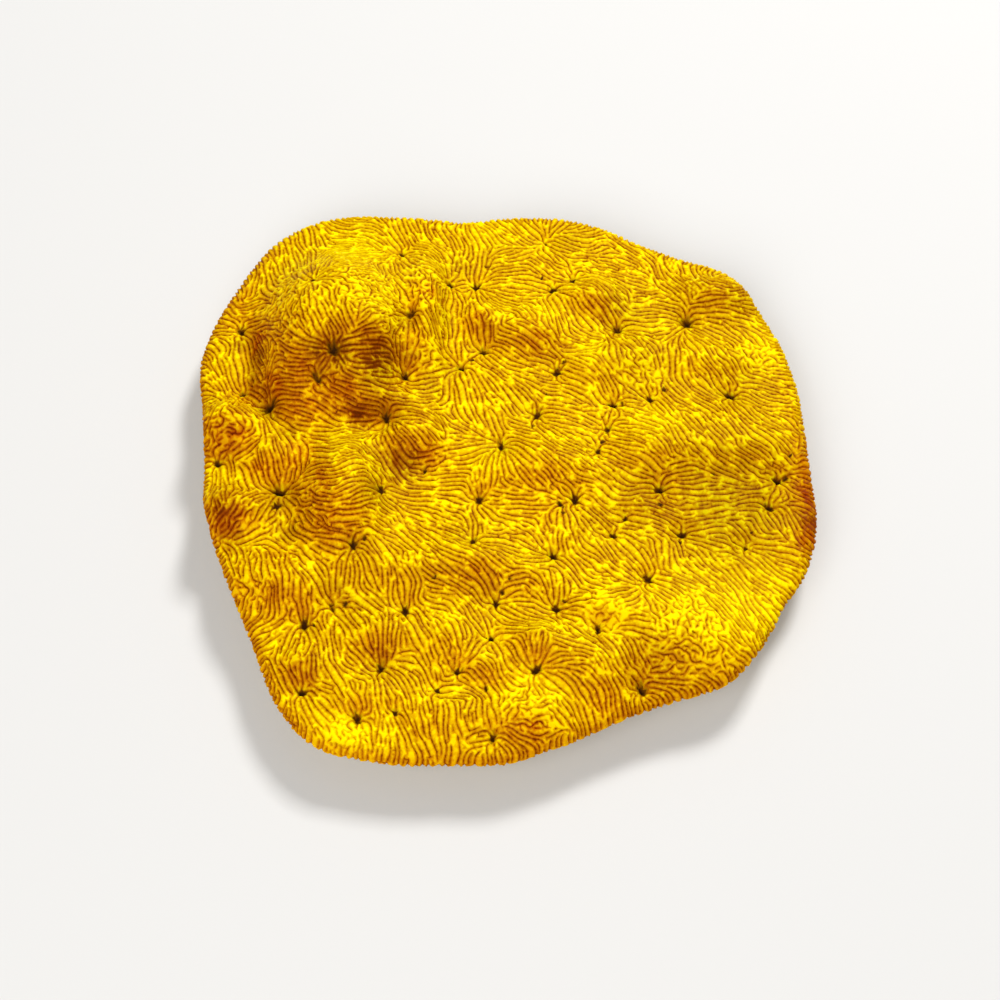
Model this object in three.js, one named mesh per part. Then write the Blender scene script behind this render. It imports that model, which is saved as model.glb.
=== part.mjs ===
// A small colony of leptoseris coral, cut flat from its rock: one lumpy plate with a rounded,
// overhanging margin, and a field of mouths that sit in funnels between the lumps.
// Millimetres, +Z up. The origin is the middle of the flat cut's level, under the middle of the colony.
import * as THREE from 'three';

// How the photograph sees the colony, so that places can be read from its 1000 x 1000 pixels.
const pixelsPerMm = 10;
const pictureMiddle = 500;
const viewElevation = 60; // degrees above the horizon
const viewDistance = 236;
const aimPoint = new THREE.Vector3(-0.8, -2.6, 6);

// Driving dimensions of the plate.
const marginLevel = 5.2; // height of the upper surface at the margin
const crownRise = 2.4; // how much higher the plate is in its middle
const lipThickness = 1.9;
const lipLength = 1.4; // how far in from the edge the lip is rounded
const cutInset = 4.6; // how far in from the edge the flat cut starts
const undercutBulge = 0.35; // share of the way down at which the underside is half way in

// Each mouth lies in a funnel. The side away from the photograph's foot is the steep one.
const funnelDepth = 0.4;
const funnelReach = 2.2;
const steepSide = 1.2;
const gentleSide = 0.9;
const funnelBlend = 0.5;
const pitDepth = 0.8;

// The colony's outline in the photograph, clockwise from the left corner, in pixels.
const outlinePixels = [
  [198, 372], [209, 336], [237, 291], [269, 248], [307, 226], [350, 217], [425, 220], [466, 225],
  [508, 219], [556, 219], [600, 228], [640, 247], [690, 264], [720, 270], [740, 283], [765, 322],
  [783, 348], [800, 398], [808, 455], [819, 527], [807, 578], [784, 607], [764, 650], [729, 688],
  [680, 700], [620, 721], [575, 743], [508, 766], [390, 766], [316, 752], [288, 726], [270, 698],
  [250, 640], [227, 585], [208, 530], [202, 500], [203, 420],
];

// The lumps and valleys, each with the pixel where its crest shows, its height above the plate, its reach
// across, behind and in front in millimetres, its turn in degrees, and how squarely its flanks drop.
const lumps = [
  { crest: [332, 297], rise: 6.6, across: 7.2, behind: 9.5, front: 7.2, turn: 0, square: 1.6 }, // the knob
  { crest: [374, 344], rise: 1, across: 3.2, behind: 2.4, front: 1.5, turn: -14, square: 1.2 }, // its brow
  { crest: [366, 392], rise: 1.8, across: 3.4, behind: 3, front: 1.8, turn: 0, square: 1.3 }, // its nose
  { crest: [292, 384], rise: 1.4, across: 2.6, behind: 4, front: 3.4, turn: 0, square: 1.1 }, // its cheek
  { crest: [342, 480], rise: 4, across: 3.8, behind: 7.5, front: 6.5, turn: 0, square: 1.2 }, // the long ridge
  { crest: [425, 285], rise: 2.9, across: 2.4, behind: 6, front: 8, turn: 0, square: 1.3 }, // the shoulder
  { crest: [414, 428], rise: 1.9, across: 3.2, behind: 5, front: 2.2, turn: 0, square: 1.4 },
  { crest: [222, 403], rise: 2.3, across: 4, behind: 2.6, front: 2.6, turn: 0, square: 1.2 },
  { crest: [222, 488], rise: 2.3, across: 3.8, behind: 2.4, front: 2.4, turn: 0, square: 1.2 },
  { crest: [270, 440], rise: 1.5, across: 2.5, behind: 2.5, front: 2.2, turn: 0, square: 1.1 },
  { crest: [258, 556], rise: 1.2, across: 4.5, behind: 2.6, front: 3, turn: 0, square: 1.1 },
  { crest: [290, 572], rise: 1.5, across: 3, behind: 2.5, front: 2.4, turn: 0, square: 1.1 },
  { crest: [740, 428], rise: 1.4, across: 6.5, behind: 4.5, front: 3, turn: 0, square: 1.1 },
  { crest: [660, 440], rise: 1.3, across: 4, behind: 3, front: 2.6, turn: 0, square: 1.1 },
  { crest: [555, 455], rise: 1.5, across: 4.5, behind: 3, front: 2.6, turn: 0, square: 1.1 },
  { crest: [718, 273], rise: 1.7, across: 3.5, behind: 2, front: 3, turn: 0, square: 1.1 },
  { crest: [610, 350], rise: 1.2, across: 5, behind: 2.4, front: 2.4, turn: 20, square: 1.1 },
  { crest: [530, 318], rise: 1.5, across: 4, behind: 3, front: 2.6, turn: 0, square: 1.3 },
  { crest: [480, 308], rise: 1.2, across: 2, behind: 2.4, front: 2.2, turn: 0, square: 1.3 },
  { crest: [592, 283], rise: 1.3, across: 3, behind: 2.6, front: 2.2, turn: 0, square: 1.1 },
  { crest: [700, 625], rise: 1.9, across: 8, behind: 4.5, front: 3.2, turn: -6, square: 1.2 },
  { crest: [605, 598], rise: 1.2, across: 3.5, behind: 2.5, front: 2, turn: 0, square: 1.1 },
  { crest: [578, 642], rise: 1.9, across: 5.5, behind: 2.5, front: 4, turn: -15, square: 1.1 },
  { crest: [530, 700], rise: 1.3, across: 3.6, behind: 2, front: 2.6, turn: 0, square: 1.1 },
  { crest: [470, 552], rise: 1.3, across: 3.6, behind: 2.4, front: 2.2, turn: 0, square: 1.1 },
  { crest: [385, 622], rise: 1.2, across: 3.4, behind: 2, front: 2, turn: 0, square: 1.1 },
  { crest: [302, 648], rise: 1.1, across: 2.8, behind: 1.8, front: 1.9, turn: 0, square: 1.1 },
  { crest: [455, 630], rise: 1, across: 2.8, behind: 2, front: 2, turn: 0, square: 1.1 },
  { crest: [535, 632], rise: 0.9, across: 2.8, behind: 1.8, front: 1.8, turn: 0, square: 1.1 },
  { crest: [365, 682], rise: 0.9, across: 3, behind: 1.8, front: 1.8, turn: 0, square: 1.1 },
  { crest: [480, 655], rise: 0.9, across: 2, behind: 1.6, front: 1.6, turn: 0, square: 1.1 },
  { crest: [450, 702], rise: 1, across: 4.5, behind: 1.8, front: 2.6, turn: 0, square: 1.1 },
  { crest: [410, 558], rise: 1.2, across: 4, behind: 2.4, front: 2.4, turn: 0, square: 1.1 },
  { crest: [530, 565], rise: 1, across: 2.8, behind: 2, front: 1.8, turn: 0, square: 1.1 },
  { crest: [500, 468], rise: 0.9, across: 3, behind: 1.6, front: 2.6, turn: 0, square: 1.1 },
  { crest: [710, 345], rise: 1, across: 4.5, behind: 2, front: 2.4, turn: 0, square: 1.1 },
  { crest: [248, 358], rise: -1.1, across: 1.3, behind: 4.5, front: 4, turn: 0, square: 1 }, // valleys round the knob and beside the ridge
  { crest: [270, 412], rise: -1, across: 3.2, behind: 1.1, front: 1.1, turn: -45, square: 1 },
  { crest: [408, 338], rise: -1.1, across: 1.1, behind: 5, front: 5.5, turn: 0, square: 1 },
  { crest: [376, 430], rise: -0.8, across: 2.6, behind: 1.1, front: 1.1, turn: 12, square: 1 },
  { crest: [285, 508], rise: -0.9, across: 1.4, behind: 5, front: 4, turn: 0, square: 1 },
  { crest: [448, 340], rise: -0.5, across: 1, behind: 8, front: 10, turn: 0, square: 1 },
];

// The mouths, each with its pixel and its size against an ordinary one.
const mouths = [
  [241, 330, 1], [333, 347, 1.3], [317, 377, 1], [270, 406, 1.2], [243, 394, 0.8], [313, 279, 0.6],
  [402, 254, 0.8], [411, 313, 1], [405, 376, 0.9], [450, 284, 0.9], [476, 286, 0.9],
  [461, 367, 0.9], [483, 351, 1], [545, 243, 0.6], [553, 289, 1], [573, 279, 0.9], [557, 371, 1],
  [537, 414, 1], [501, 445, 1.2], [617, 329, 1], [687, 322, 1.2], [730, 395, 1.2], [650, 399, 0.8],
  [613, 404, 1], [608, 428, 1.1], [598, 450, 0.9], [217, 463, 0.9], [279, 491, 1.4], [217, 538, 1],
  [386, 416, 1], [381, 489, 0.9], [353, 544, 0.9], [332, 606, 1], [425, 470, 0.7], [479, 499, 0.9],
  [575, 498, 1.2], [473, 540, 0.9], [553, 555, 1], [496, 602, 1], [405, 610, 1.1], [556, 608, 0.9],
  [660, 489, 1.1], [625, 518, 0.7], [613, 535, 0.8], [682, 534, 1], [746, 547, 0.8], [769, 507, 1],
  [778, 480, 1], [648, 578, 1], [598, 629, 0.9], [304, 624, 1.1], [381, 667, 1], [301, 692, 1],
  [357, 718, 1], [395, 712, 0.7], [437, 690, 0.7], [491, 638, 0.9], [457, 671, 0.9],
  [486, 688, 0.6], [536, 669, 1], [493, 737, 1], [642, 689, 1.2],
];

// Fineness of the mesh: the upper surface has 6 more points in each ring than in the one inside it.
const upperRings = 34;
const lipTurns = [50, 90, 145]; // degrees round the lip's edge, from its upper side
const underPoints = 3 * upperRings; // half as many as round the lip

const elevation = THREE.MathUtils.degToRad(viewElevation);
const pictureUp = new THREE.Vector3(0, Math.sin(elevation), Math.cos(elevation));
const towardsView = new THREE.Vector3(0, -Math.cos(elevation), Math.sin(elevation));
const eye = aimPoint.clone().addScaledVector(towardsView, viewDistance);

// The point of a level plane that the photograph shows at a pixel.
function onLevel(u, v, level) {
  const ray = aimPoint.clone().sub(eye);
  ray.x += (u - pictureMiddle) / pixelsPerMm;
  ray.addScaledVector(pictureUp, (pictureMiddle - v) / pixelsPerMm);
  return eye.clone().addScaledVector(ray, (level - eye.z) / ray.z);
}

// The point of a relief that the photograph shows at a pixel: the first one down the line of sight.
function onRelief(u, v, relief) {
  const highest = 24;
  const step = 0.02;
  for (let level = highest; level > 0; level -= step) {
    const point = onLevel(u, v, level);
    if (relief(point.x, point.y) >= level) return point;
  }
  throw new Error('no relief under pixel ' + u + ', ' + v);
}

const placedLumps = lumps.map((lump) => ({
  ...lump,
  middle: onLevel(...lump.crest, marginLevel + crownRise + lump.rise),
  angle: THREE.MathUtils.degToRad(lump.turn),
}));

function lumpHeight(x, y) {
  let height = 0;
  for (const { middle, angle, rise, across, behind, front, square } of placedLumps) {
    const dx = x - middle.x;
    const dy = y - middle.y;
    const a = (dx * Math.cos(angle) + dy * Math.sin(angle)) / across;
    const forth = dy * Math.cos(angle) - dx * Math.sin(angle);
    const b = forth / (forth > 0 ? behind : front);
    height += rise * Math.exp(-((a * a + b * b) ** square));
  }
  return height;
}

const marginRelief = (x, y) => marginLevel - lipThickness / 2 + lumpHeight(x, y);
const outline = outlinePixels.map(([u, v]) => onRelief(u, v, marginRelief));
const middle = new THREE.Box3().setFromPoints(outline).getCenter(new THREE.Vector3());

// Distance from the middle to the outline's straight sides, in one direction.
function straightRadius(angle) {
  const cos = Math.cos(angle);
  const sin = Math.sin(angle);
  let radius = 0;
  outline.forEach((start, i) => {
    const end = outline[(i + 1) % outline.length];
    const ax = start.x - middle.x;
    const ay = start.y - middle.y;
    const sx = end.x - start.x;
    const sy = end.y - start.y;
    const cross = cos * sy - sin * sx;
    const share = (ax * sin - ay * cos) / cross;
    const reach = (ax * sy - ay * sx) / cross;
    if (share >= 0 && share <= 1 && reach > 0) radius = Math.max(radius, reach);
  });
  return radius;
}

// The same with its corners rounded, by a weighted mean over nearby directions.
const cornerWeights = [1, 6, 15, 20, 15, 6, 1];
const cornerStep = THREE.MathUtils.degToRad(2);

function edgeRadius(angle) {
  const total = cornerWeights.reduce((sum, weight) => sum + weight);
  const half = (cornerWeights.length - 1) / 2;
  return cornerWeights.reduce(
    (sum, weight, i) => sum + (weight / total) * straightRadius(angle + (i - half) * cornerStep),
    0,
  );
}

const share = (x, y) => Math.hypot(x - middle.x, y - middle.y) / edgeRadius(Math.atan2(y - middle.y, x - middle.x));

function ground(x, y) {
  return marginLevel + crownRise * (1 - Math.min(share(x, y), 1) ** 2) + lumpHeight(x, y);
}

const placedMouths = mouths.map(([u, v, size]) => ({ ...onRelief(u, v, (x, y) => ground(x, y) - funnelDepth), size }));

// Depth of the funnels at a point: they run together softly where mouths are close.
function funnels(x, y) {
  let sum = 0;
  for (const mouth of placedMouths) {
    const dy = (y - mouth.y) * (y > mouth.y ? steepSide : gentleSide);
    sum += Math.exp(-Math.hypot(x - mouth.x, dy) / funnelBlend);
  }
  const distance = Math.max(0, -funnelBlend * Math.log(sum));
  return funnelDepth * (1 - THREE.MathUtils.smoothstep(distance, 0, funnelReach));
}

const upperHeight = (x, y) => ground(x, y) - funnels(x, y);

// One ring of points round the colony, from a function of the direction.
const ring = (count, pointAt) => Array.from({ length: count }, (_, i) => pointAt((i / count) * 2 * Math.PI));

function inFromEdge(angle, inset, drop, level) {
  const radius = edgeRadius(angle) - inset;
  const x = middle.x + radius * Math.cos(angle);
  const y = middle.y + radius * Math.sin(angle);
  return new THREE.Vector3(x, y, level ?? upperHeight(x, y) - drop);
}

function upperRing(k) {
  return ring(Math.max(1, 6 * k), (angle) => {
    const inset = lipLength + (edgeRadius(angle) - lipLength) * (1 - k / upperRings);
    return inFromEdge(angle, inset, 0);
  });
}

function lipRing(turn) {
  const round = THREE.MathUtils.degToRad(turn);
  const count = turn > 90 ? underPoints : 6 * upperRings;
  return ring(count, (angle) =>
    inFromEdge(angle, lipLength * (1 - Math.sin(round)), (lipThickness / 2) * (1 - Math.cos(round))));
}

// The underside hollows in from the lip to the flat cut.
function undersideRing(way) {
  return ring(underPoints, (angle) => {
    const top = inFromEdge(angle, lipLength, lipThickness);
    const inset = THREE.MathUtils.lerp(lipLength, cutInset, way);
    return inFromEdge(angle, inset, 0, top.z * (1 - way) ** undercutBulge);
  });
}

// Moves the nearest point of the upper surface to each mouth, and sinks it there as the pit.
function sinkMouths(points) {
  for (const mouth of placedMouths) {
    const nearest = points.reduce((best, point) =>
      Math.hypot(point.x - mouth.x, point.y - mouth.y) < Math.hypot(best.x - mouth.x, best.y - mouth.y) ? point : best);
    nearest.set(mouth.x, mouth.y, upperHeight(mouth.x, mouth.y) - pitDepth * mouth.size);
  }
}

// Joins two rings, which may have different counts, with one band of triangles.
function band(outer, inner, outerStart, innerStart) {
  const faces = [];
  let i = 0;
  let j = 0;
  const outerAt = (n) => outerStart + (n % outer.length);
  const innerAt = (n) => innerStart + (n % inner.length);
  while (i < outer.length || (j < inner.length && inner.length > 1)) {
    const outerNext = i < outer.length && (inner.length === 1 || (i + 0.5) / outer.length <= (j + 0.5) / inner.length);
    if (outerNext) faces.push(outerAt(i), outerAt(++i), innerAt(j));
    else faces.push(innerAt(j), outerAt(i), innerAt(++j));
  }
  return faces;
}

function colonyGeometry() {
  const upper = Array.from({ length: upperRings + 1 }, (_, k) => upperRing(k));
  sinkMouths(upper.slice(0, -2).flat());
  const cutRing = undersideRing(1);
  const cutMiddle = [new THREE.Vector3(middle.x, middle.y, 0)];
  const rings = [...upper, ...lipTurns.map(lipRing), undersideRing(0.5), cutRing, cutMiddle];
  const faces = [];
  let start = 0;
  for (let k = 1; k < rings.length; k++) {
    const next = start + rings[k - 1].length;
    const grows = rings[k].length >= rings[k - 1].length;
    if (grows) faces.push(...band(rings[k], rings[k - 1], next, start));
    else {
      const turned = band(rings[k - 1], rings[k], start, next);
      for (let f = 0; f < turned.length; f += 3) faces.push(turned[f], turned[f + 2], turned[f + 1]);
    }
    start = next;
  }
  const geometry = new THREE.BufferGeometry().setFromPoints(rings.flat());
  geometry.setIndex(faces);
  geometry.computeVertexNormals();
  return geometry;
}

const geometry = colonyGeometry();
geometry.computeBoundingBox();
const boxMiddle = geometry.boundingBox.getCenter(new THREE.Vector3());
geometry.translate(-boxMiddle.x, -boxMiddle.y, 0);

const coral = new THREE.Mesh(
  geometry,
  new THREE.MeshStandardMaterial({ color: 0xf0c000, roughness: 0.55, metalness: 0 }),
);
coral.name = 'coral_colony';

const colony = new THREE.Group();
colony.add(coral);

export default colony;
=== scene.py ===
# A small colony of leptoseris coral on a pale table: the ribbed living skin over the CAD solid's form.
import math
import random

import bpy
import numpy as np
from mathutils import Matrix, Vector, kdtree
from mathutils.geometry import delaunay_2d_cdt


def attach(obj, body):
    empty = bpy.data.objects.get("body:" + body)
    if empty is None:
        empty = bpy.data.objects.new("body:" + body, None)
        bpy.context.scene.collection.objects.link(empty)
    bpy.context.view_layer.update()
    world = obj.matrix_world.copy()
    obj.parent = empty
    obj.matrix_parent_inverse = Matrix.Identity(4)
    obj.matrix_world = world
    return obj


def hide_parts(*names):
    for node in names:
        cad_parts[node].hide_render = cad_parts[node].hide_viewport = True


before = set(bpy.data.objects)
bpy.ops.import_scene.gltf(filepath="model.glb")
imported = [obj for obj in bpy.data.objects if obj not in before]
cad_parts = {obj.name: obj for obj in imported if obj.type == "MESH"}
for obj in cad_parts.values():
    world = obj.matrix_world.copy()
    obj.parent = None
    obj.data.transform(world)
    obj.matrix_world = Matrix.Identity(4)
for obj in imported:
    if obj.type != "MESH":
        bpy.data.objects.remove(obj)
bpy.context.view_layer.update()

mm = 0.001

# View: the photograph's 1000 x 1000 frame, at 10 pixels to a millimetre where it aims

viewOf = {
    "pixelsPerMm": 10,
    "pictureSide": 1000,
    "elevation": 60,
    "distance": 236,
    "aim": (-0.8, -2.6, 6),
    "sensor": 36,
    "searchFrom": 24,  # the level from which a line of sight is followed down
    "searchStep": 0.02,
}
elevation = math.radians(viewOf["elevation"])
pictureUp = np.array((0, math.sin(elevation), math.cos(elevation)))
towardsView = np.array((0, -math.cos(elevation), math.sin(elevation)))
aim = np.array(viewOf["aim"], float)
eye = aim + towardsView * viewOf["distance"]


def onLevel(u, v, level):  # the point of a level plane that a pixel shows
    half = viewOf["pictureSide"] / 2
    ray = aim - eye + pictureUp * (half - v) / viewOf["pixelsPerMm"]
    ray[0] += (u - half) / viewOf["pixelsPerMm"]
    return eye + ray * (level - eye[2]) / ray[2]


def onRelief(u, v, relief):  # the first point of a relief down the line of sight
    levels = np.arange(viewOf["searchFrom"], 0, -viewOf["searchStep"])
    points = np.array([onLevel(u, v, level) for level in (levels[0], levels[-1])])
    along = (levels - levels[0]) / (levels[-1] - levels[0])
    line = points[0] + along[:, None] * (points[1] - points[0])
    below = relief(line[:, 0], line[:, 1]) >= levels
    return line[np.argmax(below)]


# Form: the same plate, lumps, mouths and margin as the CAD solid, in millimetres

plate = {
    "marginLevel": 5.2,
    "crownRise": 2.4,
    "lipThickness": 1.9,
    "lipLength": 1.4,
    "cutInset": 4.6,
    "undercutBulge": 0.35,
}
funnel = {"depth": 0.4, "reach": 2.2, "steepSide": 1.2, "gentleSide": 0.9, "blend": 0.5}

outlinePixels = [
    (198, 372), (209, 336), (237, 291), (269, 248), (307, 226), (350, 217), (425, 220), (466, 225),
    (508, 219), (556, 219), (600, 228), (640, 247), (690, 264), (720, 270), (740, 283), (765, 322),
    (783, 348), (800, 398), (808, 455), (819, 527), (807, 578), (784, 607), (764, 650), (729, 688),
    (680, 700), (620, 721), (575, 743), (508, 766), (390, 766), (316, 752), (288, 726), (270, 698),
    (250, 640), (227, 585), (208, 530), (202, 500), (203, 420),
]

# Each lump or valley: the pixel of its crest, its rise, its reach across, behind and in front,
# its turn in degrees, and how square it is
lumps = [
    ((332, 297), 6.6, 7.2, 9.5, 7.2, 0, 1.6),  # the knob
    ((374, 344), 1, 3.2, 2.4, 1.5, -14, 1.2),  # its brow
    ((366, 392), 1.8, 3.4, 3, 1.8, 0, 1.3),  # its nose
    ((292, 384), 1.4, 2.6, 4, 3.4, 0, 1.1),  # its cheek
    ((342, 480), 4, 3.8, 7.5, 6.5, 0, 1.2),  # the long ridge
    ((425, 285), 2.9, 2.4, 6, 8, 0, 1.3),  # the shoulder
    ((414, 428), 1.9, 3.2, 5, 2.2, 0, 1.4),
    ((222, 403), 2.3, 4, 2.6, 2.6, 0, 1.2),
    ((222, 488), 2.3, 3.8, 2.4, 2.4, 0, 1.2),
    ((270, 440), 1.5, 2.5, 2.5, 2.2, 0, 1.1),
    ((258, 556), 1.2, 4.5, 2.6, 3, 0, 1.1),
    ((290, 572), 1.5, 3, 2.5, 2.4, 0, 1.1),
    ((740, 428), 1.4, 6.5, 4.5, 3, 0, 1.1),
    ((660, 440), 1.3, 4, 3, 2.6, 0, 1.1),
    ((555, 455), 1.5, 4.5, 3, 2.6, 0, 1.1),
    ((718, 273), 1.7, 3.5, 2, 3, 0, 1.1),
    ((610, 350), 1.2, 5, 2.4, 2.4, 20, 1.1),
    ((530, 318), 1.5, 4, 3, 2.6, 0, 1.3),
    ((480, 308), 1.2, 2, 2.4, 2.2, 0, 1.3),
    ((592, 283), 1.3, 3, 2.6, 2.2, 0, 1.1),
    ((700, 625), 1.9, 8, 4.5, 3.2, -6, 1.2),
    ((605, 598), 1.2, 3.5, 2.5, 2, 0, 1.1),
    ((578, 642), 1.9, 5.5, 2.5, 4, -15, 1.1),
    ((530, 700), 1.3, 3.6, 2, 2.6, 0, 1.1),
    ((470, 552), 1.3, 3.6, 2.4, 2.2, 0, 1.1),
    ((385, 622), 1.2, 3.4, 2, 2, 0, 1.1),
    ((302, 648), 1.1, 2.8, 1.8, 1.9, 0, 1.1),
    ((455, 630), 1, 2.8, 2, 2, 0, 1.1),
    ((535, 632), 0.9, 2.8, 1.8, 1.8, 0, 1.1),
    ((365, 682), 0.9, 3, 1.8, 1.8, 0, 1.1),
    ((480, 655), 0.9, 2, 1.6, 1.6, 0, 1.1),
    ((450, 702), 1, 4.5, 1.8, 2.6, 0, 1.1),
    ((410, 558), 1.2, 4, 2.4, 2.4, 0, 1.1),
    ((530, 565), 1, 2.8, 2, 1.8, 0, 1.1),
    ((500, 468), 0.9, 3, 1.6, 2.6, 0, 1.1),
    ((710, 345), 1, 4.5, 2, 2.4, 0, 1.1),
    ((248, 358), -1.1, 1.3, 4.5, 4, 0, 1),  # valleys round the knob and beside the ridge
    ((270, 412), -1, 3.2, 1.1, 1.1, -45, 1),
    ((408, 338), -1.1, 1.1, 5, 5.5, 0, 1),
    ((376, 430), -0.8, 2.6, 1.1, 1.1, 12, 1),
    ((285, 508), -0.9, 1.4, 5, 4, 0, 1),
    ((448, 340), -0.5, 1, 8, 10, 0, 1),
]

# Each mouth: its pixel, and its size against an ordinary one
mouths = [
    (241, 330, 1), (333, 347, 1.3), (317, 377, 1), (270, 406, 1.2), (243, 394, 0.8), (313, 279, 0.6),
    (402, 254, 0.8), (411, 313, 1), (405, 376, 0.9), (450, 284, 0.9), (476, 286, 0.9), (461, 367, 0.9),
    (483, 351, 1), (545, 243, 0.6), (553, 289, 1), (573, 279, 0.9), (557, 371, 1), (537, 414, 1),
    (501, 445, 1.2), (617, 329, 1), (687, 322, 1.2), (730, 395, 1.2), (650, 399, 0.8), (613, 404, 1),
    (608, 428, 1.1), (598, 450, 0.9), (217, 463, 0.9), (279, 491, 1.4), (217, 538, 1), (386, 416, 1),
    (381, 489, 0.9), (353, 544, 0.9), (332, 606, 1), (425, 470, 0.7), (479, 499, 0.9), (575, 498, 1.2),
    (473, 540, 0.9), (553, 555, 1), (496, 602, 1), (405, 610, 1.1), (556, 608, 0.9), (660, 489, 1.1),
    (625, 518, 0.7), (613, 535, 0.8), (682, 534, 1), (746, 547, 0.8), (769, 507, 1), (778, 480, 1),
    (648, 578, 1), (598, 629, 0.9), (304, 624, 1.1), (381, 667, 1), (301, 692, 1), (357, 718, 1),
    (395, 712, 0.7), (437, 690, 0.7), (491, 638, 0.9), (457, 671, 0.9), (486, 688, 0.6), (536, 669, 1),
    (493, 737, 1), (642, 689, 1.2),
]

# Smaller openings beside the mouths, which have no funnel or ribs of their own
sideMouths = [
    (277, 505, 1.2), (345, 604, 0.6), (561, 504, 0.8), (603, 441, 0.7), (661, 504, 0.6), (313, 625, 0.5),
    (278, 538, 0.4), (694, 632, 0.4), (335, 731, 0.4), (502, 592, 0.6), (564, 361, 0.6), (547, 393, 0.5),
    (204, 386, 0.5), (487, 266, 0.5), (542, 277, 0.4), (791, 455, 0.5), (434, 577, 0.5), (664, 389, 0.5),
    (472, 359, 0.6), (786, 478, 0.8), (564, 512, 0.4), (533, 425, 0.6), (622, 403, 0.6), (364, 537, 0.6),
    (565, 601, 0.5), (510, 578, 0.4), (714, 473, 0.4), (680, 541, 0.5), (752, 532, 0.4),
]

# Patches where the ribs break up into a maze: pixel and radius
mazes = [
    ((374, 290), 5.2), ((280, 300), 3.8), ((424, 292), 2.6), ((688, 622), 5), ((762, 352), 3.4),
    ((600, 604), 3), ((430, 350), 2.4), ((535, 712), 3.4), ((718, 662), 3.4), ((222, 428), 3),
    ((345, 735), 2.4), ((250, 590), 2.4), ((640, 370), 3),
]

# Where the tissue is orange, olive, bright, rust brown or reddish at the margin: pixel, radius, strength.
# The orange, olive and rust patches also carry painted shade, and the bright ones painted light
# orange tint, with painted shade on fronts, flanks and undersides turned from the light
orangeAndShadeZones = [
    ((370, 355), 2.6, 1), ((333, 350), 1.8, 0.8), ((358, 413), 1.6, 0.9), ((272, 385), 1.8, 0.9),
    ((258, 340), 1.8, 0.9), ((262, 470), 2, 0.6), ((300, 455), 2.4, 0.7), ((335, 512), 3.2, 0.6),
    ((335, 535), 2, 0.4), ((230, 432), 2.8, 0.9), ((225, 515), 2.6, 1), ((400, 462), 2.4, 0.7),
    ((425, 455), 2, 0.6), ((480, 320), 1.4, 0.9), ((540, 340), 2.6, 0.6), ((597, 300), 1.8, 0.6),
    ((715, 290), 2.4, 0.35), ((480, 575), 2, 0.5), ((300, 605), 2, 0.3), ((300, 672), 1.8, 0.6),
    ((375, 650), 2, 0.45), ((530, 728), 2, 0.7), ((655, 675), 3, 0.5), ((605, 700), 2.4, 0.5),
    ((540, 475), 2.4, 0.4), ((810, 500), 2.4, 0.9), ((812, 535), 2, 0.9), ((790, 545), 2, 0.5),
    ((430, 290), 1.6, 0.7), ((265, 600), 3, 0.2), ((350, 510), 2.4, 0.5), ((450, 460), 2, 0.2),
    ((250, 400), 2.4, 0.6), ((300, 365), 2.4, 0.5), ((312, 402), 3, 0.6), ((345, 392), 3, 0.6),
    ((395, 385), 2.6, 0.5), ((400, 350), 2.4, 0.5), ((318, 480), 3, 0.6), ((245, 305), 2.4, 0.4),
    ((420, 430), 2.6, 0.3), ((660, 500), 3, 0.3), ((540, 510), 2.4, 0.3), ((285, 555), 2.6, 0.4),
]
# olive tint, with painted shade on slopes turned away from the light and in the valleys round the knob and
# ridge
oliveAndShadeZones = [
    ((730, 500), 7.5, 1), ((655, 498), 4.5, 0.75), ((245, 370), 1.6, 0.4), ((618, 308), 3, 0.7),
    ((280, 520), 1.6, 0.5), ((460, 265), 1.8, 0.5), ((335, 590), 1.8, 0.6), ((570, 240), 2, 0.4),
    ((650, 500), 3, 0.4), ((700, 300), 4, 0.5), ((395, 405), 1.8, 0.7), ((490, 335), 1.6, 0.4),
    ((735, 385), 4, 0.5), ((530, 400), 2.2, 0.3), ((560, 600), 1.6, 0.4), ((470, 530), 2, 0.4),
    ((640, 365), 5, 0.4), ((738, 300), 3, 0.6), ((790, 520), 4, 0.5), ((640, 520), 4, 0.4),
    ((490, 255), 3, 0.3), ((600, 520), 3, 0.3), ((360, 600), 3, 0.3), ((430, 580), 3, 0.2),
    ((243, 345), 1.3, 0.9), ((253, 380), 1.4, 0.9), ((270, 408), 1.4, 1), ((290, 432), 1.3, 0.7),
    ((409, 322), 1.2, 0.8), ((410, 356), 1.3, 0.8), ((389, 412), 1.5, 0.9), ((284, 498), 1.8, 1),
    ((288, 530), 1.5, 0.8), ((376, 492), 1.6, 0.7), ((354, 546), 1.5, 0.7), ((447, 318), 1.3, 0.6),
    ((452, 372), 1.3, 0.6), ((226, 458), 1.4, 0.5), ((234, 540), 1.4, 0.6), ((500, 447), 1.5, 0.6),
    ((684, 322), 1.5, 0.6), ((730, 396), 1.5, 0.7), ((536, 412), 1.2, 0.5), ((305, 626), 1.3, 0.4),
    ((381, 660), 1.8, 0.6), ((496, 603), 1.3, 0.4), ((553, 556), 1.3, 0.4), ((600, 628), 1.3, 0.4),
    ((395, 468), 2.4, 0.7), ((740, 535), 3.5, 0.7), ((688, 532), 3, 0.5), ((655, 662), 3.5, 0.6),
    ((485, 590), 2, 0.5), ((545, 350), 2.4, 0.5), ((305, 672), 2, 0.5), ((430, 385), 1.6, 0.5),
]
# thinner grooves and brighter crests: partly the tissue's own, partly painted light on lit crests and
# hilltops
brightAndLitZones = [
    ((745, 605), 5.5, 1), ((700, 595), 4, 0.8), ((772, 578), 3.5, 0.9), ((360, 248), 3.5, 1),
    ((545, 312), 2, 0.9), ((590, 354), 2, 0.8), ((656, 418), 2.4, 0.9), ((496, 456), 2, 0.7),
    ((535, 685), 3, 0.8), ((345, 738), 4, 0.9), ((218, 476), 1.6, 0.8), ((490, 235), 3, 0.8),
    ((775, 340), 2.6, 0.7), ((350, 365), 0.8, 0.6), ((610, 610), 3, 0.6), ((300, 262), 3, 0.5),
]
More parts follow.
